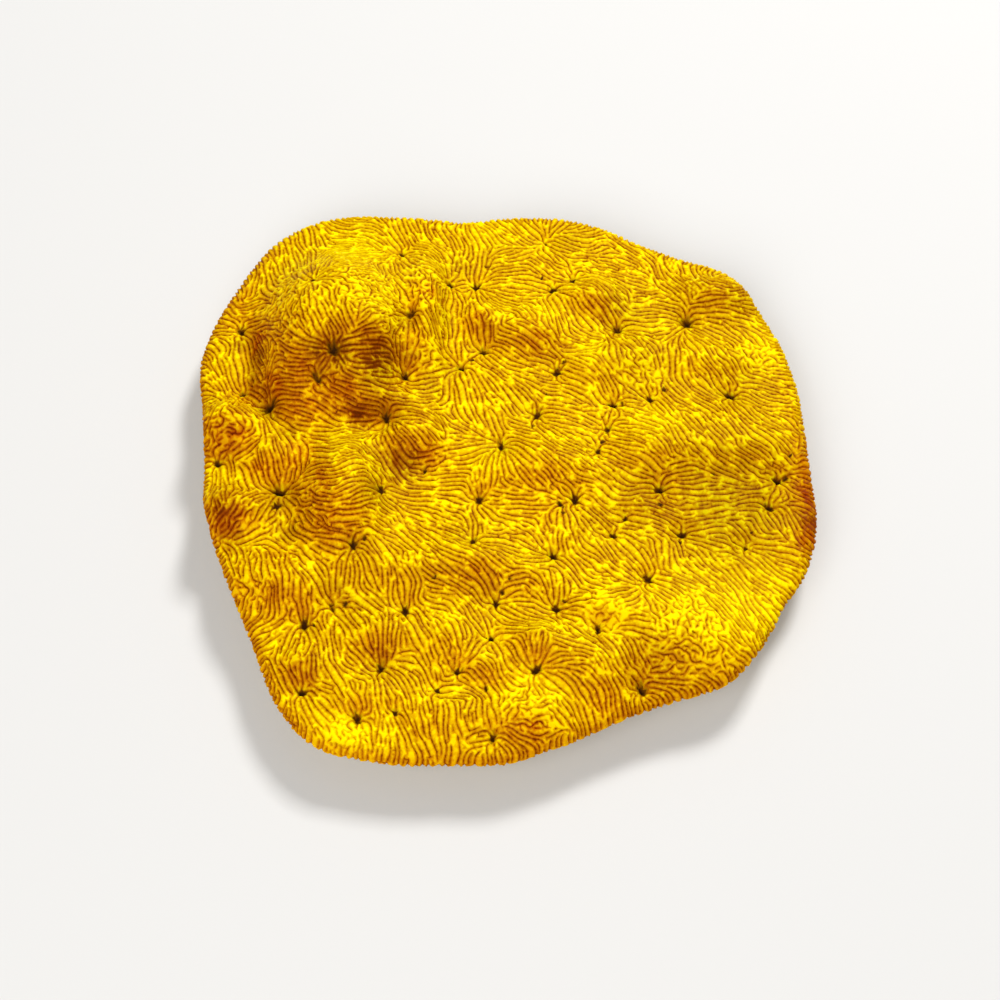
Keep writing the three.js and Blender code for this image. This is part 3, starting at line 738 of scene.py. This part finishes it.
def weaveRibs():
    loom = Loom(ribField())
    order = list(range(len(placedMouths)))
    loom.random.shuffle(order)
    for n in order:
        x, y = placedMouths[n][:2]
        start = ribs["mouthStart"] * mouthSizes[n]
        count = int(ribs["mouthRays"] + ribs["raysBySize"] * mouthSizes[n])
        turn = loom.random.uniform(0, 2 * math.pi)
        for k in range(count):
            angle = turn + 2 * math.pi * k / count
            hint = (math.cos(angle), math.sin(angle))
            loom.keep(loom.half(x + start * hint[0], y + start * hint[1], hint, ribs["longest"] / 2))
    done = 0
    reach = edgeTable.max() + skin["lipArc"] + skin["underArc"]
    for _ in range(ribs["tries"]):
        while done < len(loom.lines):
            loom.beside(loom.lines[done])
            done += 1
        angle = loom.random.uniform(0, 2 * math.pi)
        far = reach * math.sqrt(loom.random.random())
        loom.both(middle[0] + far * math.cos(angle), middle[1] + far * math.sin(angle))
    return loom.lines


ribLines = weaveRibs()
ribLength = sum(len(line) for line in ribLines) * ribs["step"]
print("grooves traced:", len(ribLines), "grooves,", round(ribLength), "mm in all")

# Colony: one mesh whose edges follow the grooves, with points on the ribs between them

colony = {
    "crestSpacing": 0.2,
    "underSpacing": 0.3,
    "crestAsides": (0.5, -0.5, 0.9, -0.9),  # in pitches, to either side of a groove
    "grooveClearance": 0.125,
    "fillClearance": 0.1,
    "cutClearance": 0.16,
    "boundaryPoints": 420,
    "mergeWithin": 1e-6,
    "bareFrom": 0.7,  # share of the lip past which the tissue gives way to bare skeleton
    "bareOver": 1.5,
    "cutFade": 0.8,
    "growthStep": 1.1,  # from one growth line of the underside to the next
    "growthHeight": 0.06,
    "growthWander": 2.2,
    "growthWanderLength": 9,
    "growthRagged": 0.3,
    "growthRaggedLength": 1.2,
}
pit = {
    "depth": 0.8,
    "radius": 0.46,
    "steepness": 0.8,
    "sideDepth": 0.45,  # a side opening's depth against a mouth's
    "squeeze": (0.45, 0.85),
    "arms": (5, 6, 7),
    "armLength": 0.3,
    "darkSteepness": 1.05,
    "seed": 5,
}
shade = {  # where the colours of the tissue go
    "crestRagged": 0.03,
    "crestRaggedLength": 0.5,
    "thinGrooveAndLightPush": 0.065,
    "valleyFrom": 0.3,
    "valleyOliveAndShade": 0.15,
    "paintedShadeLight": (0.31, 0.59, 0.74),  # the key light's direction: flanks turned away from it are given painted shade, a deeper orange
    "paintedShadeFrom": 0.72,
    "paintedShadeOver": 0.6,
    "marginFrom": -1.2,  # past the lip's start
    "marginOver": 1.8,
}


def boundaryRing():
    angle = np.linspace(-math.pi, math.pi, colony["boundaryPoints"], endpoint=False)
    reach = edgeRadius(angle) - plate["lipLength"] + skin["lipArc"] + skin["underArc"]
    return np.column_stack((middle[0] + reach * np.cos(angle), middle[1] + reach * np.sin(angle)))


def crestPoints(lines):  # points half a pitch aside of the grooves
    q = np.vstack([line[:, :2] for line in lines])
    ahead = np.vstack([np.roll(line[:, 2:5], -1, 0) - line[:, 2:5] for line in lines])
    last = np.cumsum([len(line) for line in lines]) - 1
    ahead[last] = ahead[last - 1]
    point, alongX, alongY, normal, past = skinFrame(q)
    sideways = np.cross(normal, ahead)
    sideways /= np.maximum(np.linalg.norm(sideways, axis=1), 1e-9)[:, None]
    flat = flatStep(sideways, alongX, alongY)
    pitch = np.where(past < spreadPast, ribs["pitch"], ribs["underPitch"])
    scatter = Cells(colony["underSpacing"])
    for p in point.tolist():
        scatter.hold(p, colony["grooveClearance"])
    taken = []
    for share in colony["crestAsides"]:
        aside = q + flat * (share * pitch)[:, None]
        where, beyond = skinPoint(aside)
        spacing = np.where(beyond < spreadPast, colony["crestSpacing"], colony["underSpacing"])
        inside = beyond < skinEnd - colony["cutClearance"]
        for row, p, space in zip(aside[inside].tolist(), where[inside].tolist(), spacing[inside].tolist()):
            if scatter.offer(p, space):
                taken.append(row)
    return np.array(taken), scatter


def layMesh():
    lines = [np.array(line[::2] if len(line) % 2 else line[::2] + line[-1:]) for line in ribLines]
    ring = boundaryRing()
    count = len(ring)
    crests, scatter = crestPoints(lines)
    points = np.vstack((ring, *(line[:, :2] for line in lines), crests))
    edges = [(k, (k + 1) % count) for k in range(count)]
    start = count
    for line in lines:
        edges += [(start + k, start + k + 1) for k in range(len(line) - 1)]
        start += len(line)
    insideOnly = 1  # leaves out triangles beyond the ring
    for attempt in range(2):
        spots = [Vector(p) for p in points.tolist()]
        made = delaunay_2d_cdt(spots, edges, [], insideOnly, colony["mergeWithin"])
        flat = np.array([(v.x, v.y) for v in made[0]])
        faces = np.array([f for f in made[2] if len(f) == 3])
        if attempt == 0:  # a point in each triangle that only has grooves round it
            onGroove = np.array([any(count <= source < start for source in sources) for sources in made[3]])
            centres = flat[faces[onGroove[faces].all(1)]].mean(1)
            where = skinPoint(centres)[0]
            room = colony["fillClearance"]
            extra = [row for row, p in zip(centres.tolist(), where.tolist()) if scatter.offer(p, room)]
            points = np.vstack((points, np.array(extra)))
    ringBack = {source: k for k, sources in enumerate(made[3]) for source in sources if source < count}
    return flat, faces, [ringBack[k] for k in range(count)]


def pits(xy):  # depth of the mouths' own pits, and their darkness: dark tissue with painted shade in the pits
    depth = np.zeros(len(xy))
    pitShade = np.zeros(len(xy))
    sides = [(onRelief(u, v, upperHeight), size, pit["sideDepth"]) for u, v, size in sideMouths]
    openings = [(at, size, 1) for at, size in zip(placedMouths, mouthSizes)] + sides
    draw = random.Random(pit["seed"])
    for at, size, share in openings:
        turn, squeeze = draw.uniform(0, math.pi), draw.uniform(*pit["squeeze"])
        arms, phase = draw.choice(pit["arms"]), draw.uniform(0, 2 * math.pi)
        dx, dy = xy[:, 0] - at[0], xy[:, 1] - at[1]
        a = dx * math.cos(turn) + dy * math.sin(turn)
        b = (dy * math.cos(turn) - dx * math.sin(turn)) / squeeze
        far = np.hypot(a, b) / (pit["radius"] * size)
        star = far / (1 + pit["armLength"] * np.cos(arms * np.arctan2(b, a) + phase))
        depth = np.maximum(depth, pit["depth"] * size * share * np.exp(-far ** 2 * pit["steepness"]))
        pitShade = np.maximum(pitShade, np.exp(-(star * pit["darkSteepness"]) ** 2))
    return depth, pitShade


def grooveDistance(point):  # to the nearest groove, with a little more near that groove's end
    rows = []
    for line in ribLines:
        count = len(line)
        rows += [(*p[2:5], min(k, count - 1 - k) * ribs["step"]) for k, p in enumerate(line)]
    samples = np.array(rows)
    tree = kdtree.KDTree(len(samples))
    for k, p in enumerate(samples[:, :3].tolist()):
        tree.insert(p, k)
    tree.balance()
    found = [tree.find(p)[1:] for p in point.tolist()]
    distance = np.array([f[1] for f in found])
    fade = np.clip(1 - samples[[f[0] for f in found], 3] / ribs["endLength"], 0, 1)
    return distance + ribs["endRise"] * fade


def buildColony():
    flat, faces, ring = layMesh()
    print("skin laid out:", len(flat), "points,", len(faces), "triangles")
    point, _, _, normal, past = skinFrame(flat)
    distance = grooveDistance(point)
    beads = ribs["beading"] * ripple(point, ribs["beadLength"], 21)
    beads = 1 + beads + ribs["unevenness"] * ripple(point, ribs["unevenLength"], 22)
    crest = np.sin(np.clip(distance / ribs["halfWidth"], 0, 1) * math.pi / 2) * beads

    depth, pitShade = pits(point[:, :2])
    onTop = 1 - np.clip(past, 0, 1)
    depth *= onTop
    pitShade *= onTop
    below = np.clip((past - colony["bareFrom"] * skin["lipArc"]) / colony["bareOver"], 0, 1)
    atCut = np.clip((skinEnd - past) / colony["cutFade"], 0, 1)
    wander = colony["growthWander"] * ripple(point, colony["growthWanderLength"], 41)
    growth = np.sin(past * 2 * math.pi / colony["growthStep"] + wander) * below
    lift = ribs["height"] * (crest - ribs["sunk"]) * (1 - ribs["flatterUnder"] * below) * atCut
    lift -= colony["growthHeight"] * (0.5 - 0.5 * growth) * below * atCut
    place = point + normal * lift[:, None]
    place[:, 2] = np.maximum(place[:, 2] - depth, 0)

    lowest, highest = place.min(0), place.max(0)
    shift = np.array((-(lowest[0] + highest[0]) / 2, -(lowest[1] + highest[1]) / 2, 0))
    mesh = bpy.data.meshes.new("coral_skin")
    faceList = faces.tolist() + [ring[::-1]]
    mesh.from_pydata(((place + shift) * mm).tolist(), [], faceList)
    mesh.update()

    # olive tint with painted shade in the hollows of the mouths' funnels
    valley = np.clip(funnels(point[:, 0], point[:, 1]) / funnel["depth"] - shade["valleyFrom"], 0, 1)
    crestEdge = shade["crestRagged"] * ripple(point, shade["crestRaggedLength"], 23)
    # painted shade: the flanks turned away from the key light take a deeper orange
    turnedFromLight = shade["paintedShadeFrom"] - normal @ np.array(shade["paintedShadeLight"])
    nearMargin = np.clip((past - shade["marginFrom"]) / shade["marginOver"], 0, 1) * (1 - below)
    ragged = colony["growthRagged"] * ripple(point, colony["growthRaggedLength"], 42)
    values = {
        # the bright zones widen the crest colour: thinner grooves, and painted light on lit crests and tops
        "groove": distance + crestEdge + shade["thinGrooveAndLightPush"] * zoneShare(point, brightAndLitZones),
        "mouthPitShade": pitShade,
        "underside": below,
        "growth": growth * (1 - colony["growthRagged"] + ragged),
        "orangeAndShade": zoneShare(point, orangeAndShadeZones),
        "oliveAndShade": np.maximum(zoneShare(point, oliveAndShadeZones), shade["valleyOliveAndShade"] * valley),
        "rustAndShade": zoneShare(point, rustAndShadeZones),
        "paintedShadeFlank": np.clip(turnedFromLight / shade["paintedShadeOver"], 0, 1) * (1 - below),
        "margin": nearMargin * np.minimum(zoneShare(point, marginZones), 1),
    }
    for name, value in values.items():
        mesh.attributes.new(name, "FLOAT", "POINT").data.foreach_set("value", value.astype(np.float32))
    mesh.polygons.foreach_set("use_smooth", [True] * (len(faceList) - 1) + [False])
    mesh.polygons.foreach_set("material_index", [0] * (len(faceList) - 1) + [1])
    made = bpy.data.objects.new("coral_skin", mesh)
    bpy.context.scene.collection.objects.link(made)
    return made, shift


coralSkin, shift = buildColony()
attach(coralSkin, "root")
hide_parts("coral_colony")

# Materials

tissue = {
    # from deep to bright: the ribs' tone from groove to crest, deepened by painted shade in the grooves and
    # lifted by a painted highlight on the crests
    "deepAndShade": (0.24, 0.06, 0.0),
    "groove": (0.46, 0.18, 0.0),
    "amber": (0.68, 0.36, 0.0),
    "crest": (0.86, 0.58, 0.0),
    "brightAndHighlight": (1.0, 0.84, 0.0),
    # rust brown, dark enough to serve as painted shade too
    "rustAndShade": (0.13, 0.022, 0.0),
    # dark tissue at the mouths' rims, with painted shade in the pits
    "mouthRim": (0.17, 0.055, 0.0),
    # orange tint, darkened further as painted shade
    "orangeAndShade": (0.75, 0.34, 0.0),
    # the colour of the painted shade on flanks turned from the key light
    "paintedShadeFlank": (0.9, 0.6, 0.0),
    # olive tint, darkened further as painted shade
    "oliveAndShade": (0.66, 0.6, 0.0),
    "margin": (0.8, 0.46, 0.02),
    "marginThread": (0.3, 0.05, 0.01),
    # the mouths' cores: dark tissue with painted shade in the pits
    "mouth": (0.045, 0.014, 0.002),
    "ribWidth": 0.31,  # millimetres from a groove to full crest colour
    "ribStops": ((0.0, "deepAndShade"), (0.16, "groove"), (0.42, "amber"), (0.72, "crest"), (0.95, "brightAndHighlight")),
    "mottleScale": 3.2,  # this and the other scales in features to a millimetre
    "mottle": 0.8,
    "grooveTint": (1.2, 0.7),  # orange tint and rust brown with their painted shade, in the grooves, and how much less on the crests
    "rustShare": 0.9,
    "threadScale": 0.7,
    "threadFineness": 22,
    "mouthContrast": 3.4,
    "mouthRagged": 0.4,
    "rimFrom": 0.3,
    "coreFrom": 1.2,
    "roughness": 0.5,
    "specular": 0.01,
    "stainScale": 0.7,
    "grainScale": 7,
    "grainBump": (0.5, 0.03),  # strength, and depth in millimetres
}
skeleton = {
    "cream": (0.72, 0.62, 0.44),
    "stain": (0.46, 0.34, 0.19),
    "pore": (0.3, 0.22, 0.13),
    "poreFrom": 0.42,
    "poreContrast": 6,
    "grooveFrom": 0.75,
    "growthStain": -0.5,
    "roughness": 0.85,
    "stainScale": 1.2,
    "grainScale": 2.5,
    "grainBump": (0.8, 0.2),
}


class Nodes:  # short ways to add nodes to a tree
    def __init__(self, tree):
        self.tree = tree

    def set(self, socket, value):
        if isinstance(value, bpy.types.NodeSocket):
            self.tree.links.new(value, socket)
        elif isinstance(value, tuple):
            socket.default_value = (*value, 1) if len(socket.default_value) == 4 else value
        else:
            socket.default_value = value

    def attribute(self, name):
        made = self.tree.nodes.new("ShaderNodeAttribute")
        made.attribute_name = name
        return made.outputs["Fac"]

    def math(self, operation, a, b=0.0, clamp=False):
        made = self.tree.nodes.new("ShaderNodeMath")
        made.operation = operation
        made.use_clamp = clamp
        self.set(made.inputs[0], a)
        self.set(made.inputs[1], b)
        return made.outputs[0]

    def mix(self, factor, a, b, blend="MIX"):
        made = self.tree.nodes.new("ShaderNodeMix")
        made.data_type = "RGBA"
        made.blend_type = blend
        for index, value in ((0, factor), (6, a), (7, b)):
            self.set(made.inputs[index], value)
        return made.outputs[2]

    def ramp(self, factor, stops):
        made = self.tree.nodes.new("ShaderNodeValToRGB")
        elements = made.color_ramp.elements
        elements[0].position, elements[1].position = stops[0][0], stops[-1][0]
        for position, _ in stops[1:-1]:
            elements.new(position)
        for element, (_, colour) in zip(elements, stops):
            element.color = (*colour, 1)
        self.set(made.inputs["Fac"], factor)
        return made.outputs["Color"]

    def noise(self, scale, detail):
        made = self.tree.nodes.new("ShaderNodeTexNoise")
        where = self.tree.nodes.new("ShaderNodeTexCoord")
        self.tree.links.new(where.outputs["Object"], made.inputs["Vector"])
        made.inputs["Scale"].default_value = scale / mm
        made.inputs["Detail"].default_value = detail
        return made.outputs["Fac"]

    def bump(self, height, strength, distance):
        made = self.tree.nodes.new("ShaderNodeBump")
        made.inputs["Strength"].default_value = strength
        made.inputs["Distance"].default_value = distance * mm
        self.set(made.inputs["Height"], height)
        return made.outputs["Normal"]

    def stone(self, look):
        made = self.tree.nodes.new("ShaderNodeGroup")
        made.node_tree = coralStone
        made.inputs["Stain Scale"].default_value = look["stainScale"] / mm
        made.inputs["Grain Scale"].default_value = look["grainScale"] / mm
        return made.outputs["Colour"], made.outputs["Height"]


def makeCoralStone():  # the skeleton's stained cream and its grain, for both materials
    group = bpy.data.node_groups.new("coral_stone", "ShaderNodeTree")
    for name in ("Stain Scale", "Grain Scale"):
        group.interface.new_socket(name, in_out="INPUT", socket_type="NodeSocketFloat")
    group.interface.new_socket("Colour", in_out="OUTPUT", socket_type="NodeSocketColor")
    group.interface.new_socket("Height", in_out="OUTPUT", socket_type="NodeSocketFloat")
    given = group.nodes.new("NodeGroupInput")
    result = group.nodes.new("NodeGroupOutput")
    nodes = Nodes(group)
    stain = nodes.noise(1, 4)
    grain = nodes.noise(1, 2)
    nodes.set(stain.node.inputs["Scale"], given.outputs["Stain Scale"])
    nodes.set(grain.node.inputs["Scale"], given.outputs["Grain Scale"])
    colour = nodes.ramp(stain, [(0.3, skeleton["stain"]), (0.62, skeleton["cream"])])
    nodes.set(result.inputs["Colour"], colour)
    nodes.set(result.inputs["Height"], grain)
    return group


coralStone = makeCoralStone()


def newMaterial(name):
    material = bpy.data.materials.new(name)
    material.use_nodes = True
    return material, material.node_tree.nodes["Principled BSDF"], Nodes(material.node_tree)


def livingTissue():
    material, shader, nodes = newMaterial("living_tissue")
    rib = nodes.math("MULTIPLY", nodes.attribute("groove"), 1 / tissue["ribWidth"])
    mottle = nodes.math("SUBTRACT", nodes.noise(tissue["mottleScale"], 3), 0.5)
    ribShade = nodes.math("ADD", rib, nodes.math("MULTIPLY", mottle, tissue["mottle"]), True)
    # the ribs' tone from groove to crest, with painted shade in the grooves and a painted highlight on the
    # crests
    colour = nodes.ramp(ribShade, [(position, tissue[name]) for position, name in tissue["ribStops"]])
    stoneColour, grainHeight = nodes.stone(tissue)
    inGroove, onCrest = tissue["grooveTint"]
    grooveShare = nodes.math("SUBTRACT", inGroove, nodes.math("MULTIPLY", ribShade, onCrest))
    # orange tint with painted shade, stronger in the grooves than on the crests
    orangeAndShade = nodes.math("MULTIPLY", nodes.attribute("orangeAndShade"), grooveShare, True)
    colour = nodes.mix(orangeAndShade, colour, tissue["orangeAndShade"], "MULTIPLY")
    # multiplied in: painted shade on flanks turned from the key light, olive tint with painted shade in the
    # valleys, and the reddish margin
    for name in ("paintedShadeFlank", "oliveAndShade", "margin"):
        colour = nodes.mix(nodes.attribute(name), colour, tissue[name], "MULTIPLY")
    fromThread = nodes.math("ABSOLUTE", nodes.math("SUBTRACT", nodes.noise(tissue["threadScale"], 1), 0.5))
    thread = nodes.math("SUBTRACT", 1.0, nodes.math("MULTIPLY", fromThread, tissue["threadFineness"]), True)
    thread = nodes.math("MULTIPLY", thread, nodes.attribute("margin"), True)
    colour = nodes.mix(thread, colour, tissue["marginThread"])
    # rust brown with painted shade, strongest in the grooves
    rusty = nodes.mix(tissue["rustShare"], colour, tissue["rustAndShade"])
    colour = nodes.mix(nodes.math("MULTIPLY", nodes.attribute("rustAndShade"), grooveShare, True), colour, rusty)
    # the mouths: dark tissue round them, with painted shade in their pits
    ragged = nodes.math("ADD", nodes.noise(tissue["mottleScale"], 2), tissue["mouthRagged"])
    mouth = nodes.math("MULTIPLY", nodes.attribute("mouthPitShade"), ragged)
    mouth = nodes.math("MULTIPLY", mouth, tissue["mouthContrast"])
    for start, name in (("rimFrom", "mouthRim"), ("coreFrom", "mouth")):
        colour = nodes.mix(nodes.math("SUBTRACT", mouth, tissue[start], True), colour, tissue[name])
    between = nodes.math("SUBTRACT", skeleton["grooveFrom"], ribShade, True)
    under = nodes.mix(between, stoneColour, skeleton["stain"])
    oldMargin = nodes.math("MULTIPLY", nodes.attribute("growth"), skeleton["growthStain"], True)
    under = nodes.mix(oldMargin, under, skeleton["stain"])
    colour = nodes.mix(nodes.attribute("underside"), colour, under)
    nodes.set(shader.inputs["Base Color"], colour)
    shader.inputs["Roughness"].default_value = tissue["roughness"]
    shader.inputs["Specular IOR Level"].default_value = tissue["specular"]
    nodes.set(shader.inputs["Normal"], nodes.bump(grainHeight, *tissue["grainBump"]))
    return material


def bareSkeleton():  # where the colony was cut from its rock
    material, shader, nodes = newMaterial("bare_skeleton")
    stoneColour, grainHeight = nodes.stone(skeleton)
    pore = nodes.math("SUBTRACT", skeleton["poreFrom"], grainHeight, True)
    pore = nodes.math("MULTIPLY", pore, skeleton["poreContrast"], True)
    nodes.set(shader.inputs["Base Color"], nodes.mix(pore, stoneColour, skeleton["pore"]))
    shader.inputs["Roughness"].default_value = skeleton["roughness"]
    nodes.set(shader.inputs["Normal"], nodes.bump(grainHeight, *skeleton["grainBump"]))
    return material


coralSkin.data.materials.append(livingTissue())
coralSkin.data.materials.append(bareSkeleton())

# Stage: floor, lights and camera

stage = {
    "floorSize": 3,
    "floorColour": (0.72, 0.71, 0.69),
    "floorRoughness": 0.9,
    "lights": (  # name, place, power, size
        ("key", (0.16, 0.3, 0.38), 2.0, 0.12),
        ("fill", (-0.14, -0.34, 0.36), 1.8, 0.4),
    ),
    "surround": 0.32,
}


def makeFloor():
    bpy.ops.mesh.primitive_plane_add(size=stage["floorSize"])
    floor = bpy.context.object
    floor.name = "floor"
    paint, shader, nodes = newMaterial("pale_floor")
    nodes.set(shader.inputs["Base Color"], stage["floorColour"])
    shader.inputs["Roughness"].default_value = stage["floorRoughness"]
    floor.data.materials.append(paint)


def makeLight(name, at, power, size):
    data = bpy.data.lights.new(name, "AREA")
    data.energy = power
    data.size = size
    light = bpy.data.objects.new(name, data)
    bpy.context.scene.collection.objects.link(light)
    light.location = at
    light.rotation_euler = (-Vector(at)).to_track_quat("-Z", "Y").to_euler()


def makeCamera():
    data = bpy.data.cameras.new("camera")
    data.sensor_width = viewOf["sensor"]
    data.lens = viewOf["sensor"] * viewOf["distance"] * viewOf["pixelsPerMm"] / viewOf["pictureSide"]
    data.clip_start = 0.01
    camera = bpy.data.objects.new("camera", data)
    bpy.context.scene.collection.objects.link(camera)
    camera.location = (eye + shift) * mm
    camera.rotation_euler = Vector(-towardsView).to_track_quat("-Z", "Y").to_euler()
    bpy.context.scene.camera = camera


makeFloor()
for light in stage["lights"]:
    makeLight(*light)
makeCamera()
scene = bpy.context.scene
scene.view_settings.view_transform = "Standard"
scene.world = bpy.data.worlds.new("studio")
scene.world.use_nodes = True
scene.world.node_tree.nodes["Background"].inputs["Color"].default_value = (1, 1, 1, 1)
scene.world.node_tree.nodes["Background"].inputs["Strength"].default_value = stage["surround"]
